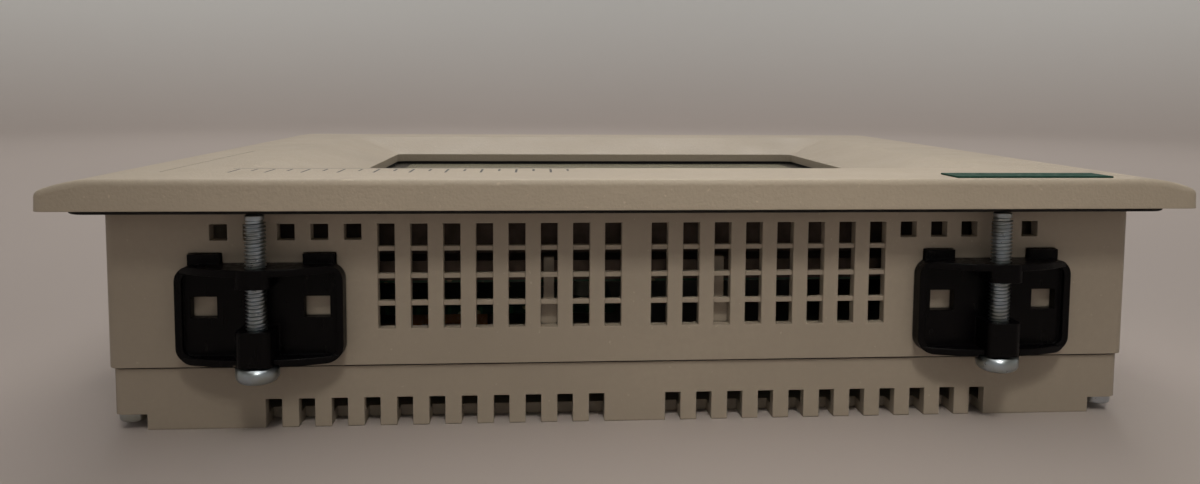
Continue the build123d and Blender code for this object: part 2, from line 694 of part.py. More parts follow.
with BuildPart() as main_housing:
    with BuildSketch(Plane.XY.offset(housing_base)):
        RectangleRounded(housing_width, housing_depth, 2)
        RectangleRounded(2 * wall_inner_x, 2 * wall_inner_y, 1, mode=Mode.SUBTRACT)
    extrude(amount=rear_plane - housing_base)

    # Corner columns for the screws of the rear cover, and lugs for the screws into the bezel.
    with BuildSketch(Plane.XY.offset(housing_base)):
        with Locations(*mirrored(column_x, column_y)):
            Rectangle(column_size + 1, column_size + 1)
        with Locations(*cover_screw_places):
            Circle(m3_tap_radius, mode=Mode.SUBTRACT)
    extrude(amount=column_top - housing_base)
    with BuildSketch(Plane.XY.offset(housing_base)):
        with Locations(*cover_screw_places):
            Circle(m3_tap_radius)
    extrude(amount=column_bore, mode=Mode.SUBTRACT)
    with BuildSketch(Plane.XY.offset(rear_plane)):
        with Locations(*mirrored(lug_x, housing_screw_y)):
            Rectangle(lug_depth + 1, lug_length)
        with Locations(*housing_screw_places):
            Circle(m3_clear_radius, mode=Mode.SUBTRACT)
    extrude(amount=-lug_height)

    # Vents of the top side: tall slots crossed by recessed ribs, then squares towards the ends.
    with BuildSketch(wall_plane(-1)):
        for column in vent_columns:
            with GridLocations(2 * column, 0, 2, 1):
                with Locations((0, (vent_top + vent_bottom) / 2)):
                    Rectangle(vent_width, vent_top - vent_bottom)
        vent_squares(square_columns, vent_top)
    extrude(amount=-housing_wall, mode=Mode.SUBTRACT)
    row_pitch = (vent_top - vent_bottom + vent_rib_height) / 4
    with BuildSketch(wall_plane(-1).offset(-vent_rib_recess)):
        for k in range(1, 4):
            with Locations((0, vent_bottom + k * row_pitch - vent_rib_height / 2)):
                Rectangle(2 * vent_columns[-1] + vent_pitch, vent_rib_height)
    extrude(amount=-vent_rib_depth)

    # Air inlet of the bottom side: two rows of squares above the connections.
    with BuildSketch(wall_plane(1)):
        vent_squares(vent_columns, vent_top)
        vent_squares(vent_columns, vent_top - vent_row_step)
    extrude(amount=housing_wall, mode=Mode.SUBTRACT)

    # Slots for the hooks of the clamps.
    for side in both_sides:
        with BuildSketch(wall_plane(side)):
            with Locations(
                *[(sx * clamp_x + hx * hook_x, (slot_low + slot_high) / 2)
                  for sx in both_sides for hx in both_sides]
            ):
                Rectangle(slot_width, slot_high - slot_low)
        extrude(amount=side * housing_wall, mode=Mode.SUBTRACT)

    # Openings for the power terminal, the serial connector and the earth screw.
    with BuildSketch(wall_plane(1)):
        with Locations((terminal_x, board_rear - terminal_height / 2)):
            Rectangle(terminal_width + 2 * fit_gap, terminal_height + 2 * fit_gap)
        serial_top = serial_z + flange_height / 2 + fit_gap
        with Locations((serial_x, (serial_top + housing_base) / 2)):
            Rectangle(flange_width + 2 * fit_gap, serial_top - housing_base)
        with Locations((earth_plane.origin.X, earth_plane.origin.Z)):
            Circle(earth_clear_radius)
    extrude(amount=housing_wall, mode=Mode.SUBTRACT)
main_housing.part.label = "main_housing"
export_step(main_housing.part, "parts/main_housing.step")

housing_screws = pan_screws(housing_screw_places, rear_plane - lug_height, housing_screw_length)
housing_screws.part.label = "housing_screws"
export_step(housing_screws.part, "parts/housing_screws.step")


# ---- Rear cover ----
cover_x, cover_y = cover_width / 2, cover_depth / 2
notch_size, notch_height = 6.2, 2.95
block_x, block_y = cover_x - 4.5, cover_y - 4.5  # middle of the corner blocks
tongue_thickness, tongue_height, tongue_root = 1.4, 2.6, 2.0
tongue_long, tongue_short, tongue_short_x, tongue_side = 150.0, 70.0, -40.0, 104.0
post_x, post_width, post_depth, post_top = 16.7, 6.0, 2.2, 23.3
finger_width, finger_depth, finger_top = 2.0, 1.6, 31.6
post_y = wall_inner_y - 0.15 - post_depth / 2
finger_y = wall_inner_y - 1.4 - finger_depth / 2
plate_width, plate_depth, plate_thickness = 62.0, 34.0, 0.15
plate_center = (40.0, 0.0)

with BuildPart() as rear_cover:
    with BuildSketch(Plane.XY):
        RectangleRounded(cover_width, cover_depth, 2)
    extrude(amount=cover_height)
    with BuildSketch(Plane.XY.offset(cover_wall)):
        RectangleRounded(cover_width - 2 * cover_wall, cover_depth - 2 * cover_wall, 1)
    extrude(amount=cover_height - cover_wall, mode=Mode.SUBTRACT)

    # Corner blocks over the notches that hold the screw heads.
    with BuildSketch(Plane.XY):
        with Locations(*mirrored(block_x, block_y)):
            Rectangle(column_size, column_size)
    extrude(amount=cover_height)
    with BuildSketch(Plane.XY):
        with Locations(*mirrored(cover_x - notch_size / 2, cover_y - notch_size / 2)):
            Rectangle(notch_size, notch_size)
    extrude(amount=notch_height, mode=Mode.SUBTRACT)
    with BuildSketch(Plane.XY):
        with Locations(*cover_screw_places):
            Circle(m3_clear_radius)
    extrude(amount=cover_height, mode=Mode.SUBTRACT)

    # Tongue inside the housing, left out beside the serial connector.
    tongue_y = wall_inner_y - fit_gap - tongue_thickness / 2
    tongue_x = wall_inner_x - fit_gap - tongue_thickness / 2
    root_z = cover_height - tongue_root
    with BuildSketch(Plane.XY.offset(root_z)):
        with Locations((0, -tongue_y)):
            Rectangle(tongue_long, tongue_thickness)
        with Locations((tongue_short_x, tongue_y)):
            Rectangle(tongue_short, tongue_thickness)
        with GridLocations(2 * tongue_x, 0, 2, 1):
            Rectangle(tongue_thickness, tongue_side)
    extrude(amount=tongue_height + tongue_root)

    # Locating posts behind the vents: a broad foot against the wall, then a narrow finger.
    with BuildSketch(Plane.XY.offset(root_z)):
        with GridLocations(2 * post_x, 0, 2, 1):
            with Locations((0, -post_y)):
                Rectangle(post_width, post_depth)
    extrude(amount=post_top - root_z)
    with BuildSketch(Plane.XY.offset(post_top)):
        with GridLocations(2 * post_x, 0, 2, 1):
            with Locations((0, -finger_y)):
                Rectangle(finger_width, finger_depth)
    extrude(amount=finger_top - post_top)

    # Combs of open notches along both long edges, and the pocket of the rating plate.
    for side in both_sides:
        with BuildSketch(Plane.XZ.offset(-side * cover_y)):
            for column in comb_columns:
                with Locations((-column, comb_height / 2), (column, comb_height / 2)):
                    Rectangle(comb_width, comb_height)
        extrude(amount=side * comb_depth, mode=Mode.SUBTRACT)
    with BuildSketch(Plane.XY):
        with Locations(plate_center):
            Rectangle(plate_width, plate_depth)
    extrude(amount=plate_thickness, mode=Mode.SUBTRACT)
rear_cover.part.label = "rear_cover"
export_step(rear_cover.part, "parts/rear_cover.step")

with BuildPart() as rating_plate:
    with BuildSketch(Plane.XY):
        with Locations(plate_center):
            Rectangle(plate_width, plate_depth)
    extrude(amount=plate_thickness)
rating_plate.part.label = "rating_plate"
export_step(rating_plate.part, "parts/rating_plate.step")

cover_head_radius, cover_head_height, cover_head_edge, cover_screw_length = 2.6, 1.6, 0.6, 18.0
cover_cross_length, cover_cross_width, cover_cross_depth = 2.2, 0.5, 0.8

with BuildPart() as rear_cover_screws:
    with BuildSketch(Plane.XY.offset(notch_height)):
        with Locations(*cover_screw_places):
            Circle(cover_head_radius)
    extrude(amount=-cover_head_height)
    fillet(rear_cover_screws.edges().group_by(Axis.Z)[0], cover_head_edge)
    with BuildSketch(Plane.XY.offset(notch_height)):
        with Locations(*cover_screw_places):
            Circle(m3_radius)
    extrude(amount=cover_screw_length)
    with BuildSketch(Plane.XY.offset(notch_height - cover_head_height)):
        with Locations(*cover_screw_places):
            Rectangle(cover_cross_length, cover_cross_width)
            Rectangle(cover_cross_width, cover_cross_length)
    extrude(amount=cover_cross_depth, mode=Mode.SUBTRACT)
rear_cover_screws.part.label = "rear_cover_screws"
export_step(rear_cover_screws.part, "parts/rear_cover_screws.step")


# ---- Mounting clamps ----
# Each clamp has its own plane: origin on the wall under the screw, -y away from the housing.
clamp_places = {
    "top_right": (-1, -1),
    "top_left": (1, -1),
    "bottom_right": (-1, 1),
    "bottom_left": (1, 1),
}
clamp_corner, clamp_inner_corner = 3.0, 1.7
flange_end, flange_top_out, flange_low_out, flange_sheet = 2.8, 7.4, 5.6, 1.3
boss_width, boss_out, boss_corner = 6.4, 7.6, 1.6
boss_high_low = 28.2                             # underside of the upper boss
boss_low_low, boss_low_high = 13.9, 20.4
window_x, window_width, window_low, window_high = 10.2, 4.8, 21.8, 25.8
head_clearance, thread_clearance = 0.4, 0.05
hook_reach = housing_wall + 0.2                  # from the face of the wall to the hook's tip
screw_head_edge, screw_tip_edge, screw_cross_depth = 1.3, 0.4, 1.9
pad_radius, pad_edge, pad_seat = 1.7, 0.3, screw_tip + 0.1
pad_stem_radius, pad_stem_length, pad_socket_radius = 1.0, 1.3, 1.05


def flange_outline(reach):
    """Plan of a flange: straight along the wall, bulging out to reach at the boss."""
    half = clamp_width / 2 - 1
    with BuildSketch() as outline:
        with BuildLine():
            Polyline((-half, -flange_end), (-half, 0), (half, 0), (half, -flange_end))
            ThreePointArc((half, -flange_end), (0, -reach), (-half, -flange_end))
        make_face()
    return outline.sketch


def boss_outline():
    """Plan of a boss: square at the wall, rounded at the outer corners."""
    with BuildSketch() as outline:
        with Locations((0, -(boss_out - 2) / 2)):
            Rectangle(boss_width, boss_out - 2)
        with Locations((0, -(boss_out - 2))):
            RectangleRounded(boss_width, 4, boss_corner)
    return outline.sketch


for name, (side_x, side_y) in clamp_places.items():
    base = Plane(origin=(side_x * clamp_x, side_y * wall_y, 0), x_dir=(-side_y, 0, 0), z_dir=(0, 0, 1))
    face = Plane(origin=base.origin, x_dir=base.x_dir, z_dir=-base.y_dir)

    with BuildPart() as clamp_body:
        middle = (0, (clamp_low + clamp_high) / 2)
        height = clamp_high - clamp_low
        with BuildSketch(face):
            with Locations(middle):
                RectangleRounded(clamp_width, height, clamp_corner)
        extrude(amount=clamp_web)
        with BuildSketch(face):
            with Locations(middle):
                RectangleRounded(clamp_width, height, clamp_corner)
                RectangleRounded(
                    clamp_width - 2 * clamp_rim,
                    height - 2 * clamp_rim,
                    clamp_inner_corner,
                    mode=Mode.SUBTRACT,
                )
        extrude(amount=flange_end)
        with BuildSketch(base.offset(clamp_high - flange_sheet)):
            add(flange_outline(flange_top_out))
        extrude(amount=flange_sheet)
        with BuildSketch(base.offset(clamp_low)):
            add(flange_outline(flange_low_out))
        extrude(amount=flange_sheet)
        # Corners of the flanges follow the rounded outline.
        with BuildSketch(face):
            with Locations(middle):
                RectangleRounded(clamp_width, height, clamp_corner)
        extrude(amount=boss_out + 1, mode=Mode.INTERSECT)
        with BuildSketch(base.offset(boss_high_low)):
            add(boss_outline())
        extrude(amount=clamp_high - boss_high_low)
        with BuildSketch(base.offset(boss_low_low)):
            add(boss_outline())
        extrude(amount=boss_low_high - boss_low_low)
        # Windows, screw bores and the room for the screw's head.
        with BuildSketch(face):
            with Locations(*[(s * window_x, (window_low + window_high) / 2) for s in both_sides]):
                Rectangle(window_width, window_high - window_low)
        extrude(amount=clamp_web, mode=Mode.SUBTRACT)
        with BuildSketch(base.offset(clamp_low)):
            with Locations((0, -screw_out)):
                Circle(screw_head_radius + head_clearance)
        extrude(amount=boss_low_low - clamp_low, mode=Mode.SUBTRACT)
        with BuildSketch(base.offset(boss_low_low)):
            with Locations((0, -screw_out)):
                Circle(screw_radius + fit_gap)
        extrude(amount=boss_low_high - boss_low_low, mode=Mode.SUBTRACT)
        with BuildSketch(base.offset(boss_high_low)):
            with Locations((0, -screw_out)):
                Circle(screw_radius + thread_clearance)
        extrude(amount=clamp_high - boss_high_low, mode=Mode.SUBTRACT)
        # Hooks: a tab outside the wall, an arm through the slot and a tip that hangs down behind it.
        with BuildSketch(base.offset(clamp_high - flange_sheet)):
            with GridLocations(2 * hook_x, 0, 2, 1):
                with Locations((0, -hook_tab / 2)):
                    Rectangle(hook_width, hook_tab)
        extrude(amount=hook_tab_high - clamp_high + flange_sheet)
        with BuildSketch(base.offset(hook_low)):
            with GridLocations(2 * hook_x, 0, 2, 1):
                with Locations((0, hook_reach / 2)):
                    Rectangle(hook_width, hook_reach)
        extrude(amount=hook_high - hook_low)
        with BuildSketch(base.offset(hook_tip_low)):
            with GridLocations(2 * hook_x, 0, 2, 1):
                with Locations((0, hook_reach + hook_thickness / 2)):
                    Rectangle(hook_width, hook_thickness)
        extrude(amount=hook_high - hook_tip_low)
    clamp_body.part.label = f"clamp_body_{name}"
    export_step(clamp_body.part, f"parts/clamp_body_{name}.step")

    with BuildPart() as clamp_screw:
        with BuildSketch(base.offset(screw_head_face)):
            with Locations((0, -screw_out)):
                Circle(screw_head_radius)
        extrude(amount=-screw_head_height)
        fillet(clamp_screw.edges().group_by(Axis.Z)[0], screw_head_edge)
        with BuildSketch(base.offset(screw_head_face)):
            with Locations((0, -screw_out)):
                Circle(screw_radius)
        extrude(amount=screw_tip - screw_head_face)
        chamfer(clamp_screw.edges().group_by(Axis.Z)[-1], screw_tip_edge)
        with BuildSketch(base.offset(screw_head_face - screw_head_height)):
            with Locations((0, -screw_out)):
                Rectangle(m4_cross_length, m4_cross_width)
                Rectangle(m4_cross_width, m4_cross_length)
        extrude(amount=screw_cross_depth, mode=Mode.SUBTRACT)
        with BuildSketch(base.offset(screw_tip)):
            with Locations((0, -screw_out)):
                Circle(pad_socket_radius)
        extrude(amount=-pad_stem_length, mode=Mode.SUBTRACT)
    clamp_screw.part.label = f"clamp_screw_{name}"
    export_step(clamp_screw.part, f"parts/clamp_screw_{name}.step")

    with BuildPart() as clamp_pad:
        with BuildSketch(base.offset(pad_seat)):
            with Locations((0, -screw_out)):
                Circle(pad_radius)
        extrude(amount=pad_face - pad_seat)
        fillet(clamp_pad.edges().group_by(Axis.Z)[-1], pad_edge)
        with BuildSketch(base.offset(pad_seat)):
            with Locations((0, -screw_out)):
                Circle(pad_stem_radius)
        extrude(amount=-pad_stem_length)
    clamp_pad.part.label = f"clamp_pad_{name}"
    export_step(clamp_pad.part, f"parts/clamp_pad_{name}.step")
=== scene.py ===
"""Looks of an operator touch panel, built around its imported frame."""
import json
import math

import bmesh
import bpy
from mathutils import Matrix, Vector


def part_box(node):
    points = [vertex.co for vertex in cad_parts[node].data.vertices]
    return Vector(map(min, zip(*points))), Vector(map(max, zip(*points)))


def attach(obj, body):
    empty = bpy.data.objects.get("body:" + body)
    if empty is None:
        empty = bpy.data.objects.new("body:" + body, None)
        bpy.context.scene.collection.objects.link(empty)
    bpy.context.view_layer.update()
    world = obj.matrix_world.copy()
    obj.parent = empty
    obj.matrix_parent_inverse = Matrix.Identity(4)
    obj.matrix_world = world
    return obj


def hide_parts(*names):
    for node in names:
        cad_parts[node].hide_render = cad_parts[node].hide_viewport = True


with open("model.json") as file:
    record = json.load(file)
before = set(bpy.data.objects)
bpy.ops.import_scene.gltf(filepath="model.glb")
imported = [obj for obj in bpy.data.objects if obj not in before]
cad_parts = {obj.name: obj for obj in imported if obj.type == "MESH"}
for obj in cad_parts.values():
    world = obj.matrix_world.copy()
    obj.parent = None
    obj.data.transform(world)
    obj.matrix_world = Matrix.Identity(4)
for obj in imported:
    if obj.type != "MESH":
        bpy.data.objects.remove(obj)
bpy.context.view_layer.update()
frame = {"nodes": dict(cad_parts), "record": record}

MM = 0.001
# Corners of the CAD meshes closer together than this are one corner.
SAME_CORNER = 2e-6
PLACES = ("top_right", "top_left", "bottom_right", "bottom_left")
scene = bpy.context.scene


# ---- Small helpers for node materials ----
def srgb(red, green, blue):
    """Linear colour from the eight-bit values of a colour picker."""
    def linear(value):
        value /= 255
        return value / 12.92 if value <= 0.04045 else ((value + 0.055) / 1.055) ** 2.4
    return (linear(red), linear(green), linear(blue), 1.0)


def scaled(colour, factor):
    """The same colour, lighter or darker."""
    return tuple(min(1.0, c * factor) for c in colour[:3]) + (1.0,)


class Finish:
    """One procedural material: a Principled shader and the nodes that feed it."""

    def __init__(self, name, colour, roughness, **constants):
        self.material = bpy.data.materials.new(name)
        self.material.use_nodes = True
        self.nodes = self.material.node_tree.nodes
        self.links = self.material.node_tree.links
        self.shader = self.nodes["Principled BSDF"]
        self.shader.inputs["Base Color"].default_value = colour
        self.shader.inputs["Roughness"].default_value = roughness
        for socket, value in constants.items():
            self.shader.inputs[socket.replace("_", " ")].default_value = value
        self.place = self.nodes.new("ShaderNodeTexCoord").outputs["Object"]
        self.normal = None

    def node(self, kind, settings=(), **inputs):
        """A new node, with its settings and its inputs, which are values or sockets."""
        made = self.nodes.new(kind)
        for attribute, value in dict(settings).items():
            setattr(made, attribute, value)
        for socket, value in inputs.items():
            self.feed(made.inputs[socket.replace("_", " ")], value)
        return made

    def feed(self, target, value):
        """Gives an input a value, or links it where the value is a socket."""
        if isinstance(value, bpy.types.NodeSocket):
            self.links.new(value, target)
        else:
            target.default_value = value

    def noise(self, size_mm, detail=2.0, stretch=(1, 1, 1)):
        """Noise from 0 to 1 whose features are about size_mm across."""
        place = self.place
        if stretch != (1, 1, 1):
            mapping = self.node("ShaderNodeMapping", Vector=place, Scale=stretch)
            place = mapping.outputs["Vector"]
        scale = 1 / (size_mm * MM)
        made = self.node("ShaderNodeTexNoise", Vector=place, Scale=scale, Detail=detail)
        return made.outputs["Fac"]

    def between(self, value, low, high, to_low=0.0, to_high=1.0):
        """value taken from low..high to to_low..to_high, held at the ends."""
        ranged = self.node("ShaderNodeMapRange", {"clamp": True}, Value=value, From_Min=low,
                           From_Max=high, To_Min=to_low, To_Max=to_high)
        return ranged.outputs["Result"]

    def mix(self, factor, first, second):
        """Colour between first and second."""
        mixed = self.node("ShaderNodeMix", {"data_type": "RGBA"})
        # A Mix node has one set of sockets for each data type. These are the ones for colours.
        factor_socket, first_socket, second_socket = (mixed.inputs[k] for k in (0, 6, 7))
        self.feed(factor_socket, factor)
        self.feed(first_socket, first)
        self.feed(second_socket, second)
        return mixed.outputs[2]

    def math(self, operation, first, second):
        """The result of a Math node. Each of its two inputs is a number or a socket."""
        made = self.node("ShaderNodeMath", {"operation": operation})
        self.feed(made.inputs[0], first)
        self.feed(made.inputs[1], second)
        return made.outputs[0]

    def paint(self, socket_name, value):
        """Lets a socket drive one input of the shader."""
        self.links.new(value, self.shader.inputs[socket_name])

    def paint_crevice_shade(self, colour, reach_mm):
        """colour, darker with painted shade in gaps narrower than reach_mm."""
        # Painted shade: ambient occlusion darkens the colour in crevices, seams and under
        # overhangs.
        occlusion = self.node("ShaderNodeAmbientOcclusion", {"samples": 6}, Distance=reach_mm * MM)
        closed, clear, depth = 0.25, 0.65, 0.95
        shade = self.between(occlusion.outputs["AO"], closed, clear, depth, 0.0)
        return self.mix(shade, colour, srgb(14, 10, 8))

    def soften_edges(self, radius_mm):
        """Catches the light along edges as a small moulded radius does."""
        made = self.node("ShaderNodeBevel", {"samples": 6}, Radius=radius_mm * MM)
        self.normal = made.outputs["Normal"]
        self.paint("Normal", self.normal)

    def bump(self, height, depth_mm):
        """Adds relief of depth_mm to the surface. Several calls add up."""
        made = self.node("ShaderNodeBump", Height=height, Distance=depth_mm * MM)
        if self.normal is not None:
            self.links.new(self.normal, made.inputs["Normal"])
        self.normal = made.outputs["Normal"]
        self.paint("Normal", self.normal)


def moulded_plastic(name, colour, grain_mm, grain_depth_mm, roughness, edge_mm=0.0):
    """Grained plastic with a slow change of tone, fine dust and a faint smear of handling."""
    finish = Finish(name, colour, roughness, IOR=1.5)
    if edge_mm:
        finish.soften_edges(edge_mm)
    slow = finish.between(finish.noise(45, 3), 0.35, 0.65)
    fine = finish.between(finish.noise(1.1, 3), 0.3, 0.7)
    tone = finish.mix(slow, scaled(colour, 0.94), scaled(colour, 1.04))
    tone = finish.mix(finish.math("MULTIPLY", fine, 0.5), tone, scaled(colour, 0.93))
    dust = finish.between(finish.noise(0.9, 1), 0.74, 0.80, 0.0, 0.5)
    tone = finish.mix(dust, tone, scaled(colour, 1.35))
    # Painted shade darkens the colour in crevices, seams and under overhangs.
    finish.paint("Base Color", finish.paint_crevice_shade(tone, 0.7))
    handled = finish.noise(12, 4)
    finish.paint("Roughness", finish.between(handled, 0.3, 0.7, roughness - 0.06, roughness + 0.08))
    finish.bump(finish.noise(grain_mm, 2), grain_depth_mm)
    finish.bump(finish.noise(grain_mm * 3.5, 2), grain_depth_mm * 0.8)
    return finish.material


def dark_plastic(name, colour, roughness):
    """Glass-filled black plastic: satin, with flow streaks and a few pale scuffs."""
    finish = Finish(name, colour, roughness, IOR=1.5, Specular_IOR_Level=0.12)
    finish.soften_edges(0.35)
    streaks = finish.noise(1.6, 3, (1, 1, 0.25))
    scuffs = finish.between(finish.noise(0.7, 4, (1, 1, 0.5)), 0.68, 0.76, 0.0, 0.35)
    tone = finish.mix(streaks, colour, scaled(colour, 1.5))
    finish.paint("Base Color", finish.mix(scuffs, tone, srgb(26, 24, 23)))
    finish.paint("Roughness", finish.between(streaks, 0.3, 0.7, roughness - 0.1, roughness + 0.12))
    finish.bump(finish.noise(0.3, 2), 0.012)
    finish.bump(streaks, 0.03)
    return finish.material


def plated_metal(name, colour, tint, roughness, streak=(1, 1, 1)):
    """Plated metal: cloudy tint, slightly uneven polish and very fine scratches."""
    finish = Finish(name, colour, roughness, Metallic=1.0)
    cloud = finish.between(finish.noise(3.5, 2), 0.35, 0.65)
    finish.paint("Base Color", finish.mix(cloud, colour, tint))
    polish = finish.noise(1.2, 3, streak)
    finish.paint("Roughness", finish.between(polish, 0.3, 0.7, roughness * 0.9, roughness * 1.15))
    finish.bump(finish.noise(0.5, 2, streak), 0.002)
    return finish.material


def rubber(name, colour):
    """Matt rubber with a faint grey bloom."""
    finish = Finish(name, colour, 0.8, IOR=1.45)
    bloom = finish.between(finish.noise(5, 4), 0.45, 0.75, 0.0, 0.35)
    finish.paint("Base Color", finish.mix(bloom, colour, srgb(46, 45, 42)))
    finish.bump(finish.noise(0.2, 2), 0.015)
    return finish.material


def smooth_plastic(name, colour, roughness, **constants):
    """Smooth plastic, ink or glass: a slow change of tone and a slightly uneven gloss."""
    finish = Finish(name, colour, roughness, **constants)
    slow = finish.noise(6, 3)
    finish.paint("Base Color", finish.mix(slow, scaled(colour, 0.9), scaled(colour, 1.1)))
    gloss = finish.noise(1.5, 4)
    finish.paint("Roughness", finish.between(gloss, 0.3, 0.7, roughness * 0.8, roughness * 1.25))
    finish.bump(finish.noise(2.5, 2), 0.01)
    return finish.material


def circuit_board(name):
    """Green solder resist over copper tracks."""
    resist, copper, solder = srgb(12, 52, 34), srgb(34, 84, 54), srgb(170, 160, 120)
    finish = Finish(name, resist, 0.32, IOR=1.5)
    askew = finish.node("ShaderNodeMapping", Vector=finish.place, Rotation=(0, 0, math.radians(45)))
    tracks = finish.node("ShaderNodeTexBrick", {"offset": 0.37, "squash": 1.0}, Vector=finish.place,
                         Scale=150.0, Mortar_Size=0.06, Mortar_Smooth=0.1)
    vias = finish.node("ShaderNodeTexVoronoi", Vector=askew.outputs["Vector"], Scale=260.0)
    lines = finish.between(tracks.outputs["Fac"], 0.4, 0.6)
    dots = finish.between(vias.outputs["Distance"], 0.16, 0.2, 1.0, 0.0)
    tone = finish.mix(lines, resist, copper)
    finish.paint("Base Color", finish.mix(dots, tone, solder))
    finish.bump(lines, 0.04)
    return finish.material


def touch_surface(name):
    """Glossy film over a switched-off display: a grey active area in a black border."""
    low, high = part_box("touch_film")
    middle = (low + high) / 2
    # The active area's width and height, and how far its edge fades.
    active_mm, blur_mm = (115.5, 87.0), 0.1
    border, screen = srgb(22, 22, 20), srgb(140, 136, 115)
    finish = Finish(name, screen, 0.22, IOR=1.5)
    split = finish.node("ShaderNodeSeparateXYZ", Vector=finish.place)
    inside = None
    for axis in (0, 1):
        offset = finish.math("SUBTRACT", split.outputs[axis], middle[axis])
        away = finish.math("ABSOLUTE", offset, 0)
        edge_at, blur = active_mm[axis] / 2 * MM, blur_mm * MM
        edge = finish.between(away, edge_at - blur, edge_at + blur, 1.0, 0.0)
        inside = edge if inside is None else finish.math("MULTIPLY", inside, edge)
    cloud = finish.mix(finish.noise(30, 2), scaled(screen, 0.92), scaled(screen, 1.08))
    finish.paint("Base Color", finish.mix(inside, border, cloud))
    wiped = finish.noise(14, 3, (1, 2.2, 1))
    finish.paint("Roughness", finish.between(wiped, 0.2, 0.8, 0.2, 0.28))
    finish.bump(finish.noise(0.15, 1), 0.002)
    return finish.material


BEIGE = srgb(187, 174, 155)
HOUSING = srgb(166, 154, 138)
FINISHES = {
    "bezel_plastic": moulded_plastic("bezel_plastic", BEIGE, 0.6, 0.1, 0.5, 0.25),
    "housing_plastic": moulded_plastic("housing_plastic", HOUSING, 0.3, 0.012, 0.55),
    "label_print": smooth_plastic("label_print", srgb(6, 66, 52), 0.6, Specular_IOR_Level=0.15),
    "print_ink": smooth_plastic("print_ink", srgb(58, 54, 50), 0.5),
    "seal_rubber": rubber("seal_rubber", srgb(18, 18, 17)),
    "touch_film": touch_surface("touch_film"),
    "sensor_glass": smooth_plastic("sensor_glass", srgb(200, 210, 205), 0.06),
    "lamp_glass": smooth_plastic("lamp_glass", srgb(235, 236, 230), 0.15),
    "sheet_steel": plated_metal("sheet_steel", srgb(104, 92, 84), srgb(88, 78, 70), 0.5,
                                (1, 8, 1)),
    "zinc_steel": plated_metal("zinc_steel", srgb(186, 192, 200), srgb(170, 172, 166), 0.3),
    "clamp_zinc": plated_metal("clamp_zinc", srgb(176, 186, 194), srgb(160, 164, 160), 0.3),
    "bright_steel": plated_metal("bright_steel", srgb(206, 204, 198), srgb(190, 186, 176), 0.2),
    "white_plastic": smooth_plastic("white_plastic", srgb(186, 180, 168), 0.5),
    "terminal_plastic": smooth_plastic("terminal_plastic", srgb(34, 92, 52), 0.4),
    "nylon": smooth_plastic("nylon", srgb(214, 210, 194), 0.45),
    "amber_film": smooth_plastic("amber_film", srgb(150, 92, 30), 0.25),
    "brass": plated_metal("brass", srgb(196, 168, 96), srgb(176, 146, 80), 0.3),
    "tinned_brass": plated_metal("tinned_brass", srgb(198, 196, 188), srgb(178, 172, 156), 0.28),
    "circuit_board": circuit_board("circuit_board"),
    "chip_plastic": smooth_plastic("chip_plastic", srgb(26, 26, 27), 0.55),
    "capacitor_can": plated_metal("capacitor_can", srgb(190, 192, 196), srgb(172, 172, 172), 0.3),
    "ferrite": smooth_plastic("ferrite", srgb(56, 54, 52), 0.6),
    "foil_label": plated_metal("foil_label", srgb(196, 196, 194), srgb(184, 184, 180), 0.4,
                               (8, 1, 1)),
    "clamp_plastic": dark_plastic("clamp_plastic", srgb(3, 2, 3), 0.34),
}


def paint_nodes():
    """Gives every CAD node the finish of its slot."""
    for part in frame["record"]["subparts"]:
        for slot in frame["nodes"][part["node"]].material_slots:
            slot.material = FINISHES[part["material_slot"]]


# ---- Rounded edges and threads ----
ROUNDED_MM = {"main_housing": 0.14, "rear_cover": 0.12}


def round_edges(node, width_mm):
    """Rounds the sharp edges of a CAD node with modifiers, which leave its own mesh as it is."""
    piece = frame["nodes"][node]
    weld = piece.modifiers.new("weld", "WELD")
    weld.merge_threshold = SAME_CORNER
    edges = piece.modifiers.new("edges", "BEVEL")
    edges.width = width_mm * MM
    edges.segments = 2
    edges.limit_method = "ANGLE"
    edges.angle_limit = math.radians(28)
    edges.use_clamp_overlap = False
    normals = piece.modifiers.new("normals", "WEIGHTED_NORMAL")
    normals.keep_sharp = True


def cut_flat(bm, z, outward):
    """Cuts a mesh at the height z and closes it. What lies outward of it, 1 up or -1 down, goes."""
    cut = bmesh.ops.bisect_plane(bm, geom=bm.verts[:] + bm.edges[:] + bm.faces[:], dist=1e-7,
                                 plane_co=(0, 0, z), plane_no=(0, 0, outward), clear_outer=True)
    rim = [edge for edge in cut["geom_cut"] if isinstance(edge, bmesh.types.BMEdge)]
    bmesh.ops.edgeloop_fill(bm, edges=rim)


THREAD_PITCH = 0.7 * MM
# Rise along one turn of the M4 thread, as a share of the pitch, and the radius there in mm.
THREAD_PROFILE = ((0.0, 1.54), (0.12, 1.54), (0.42, 1.93), (0.58, 1.93), (0.88, 1.54))


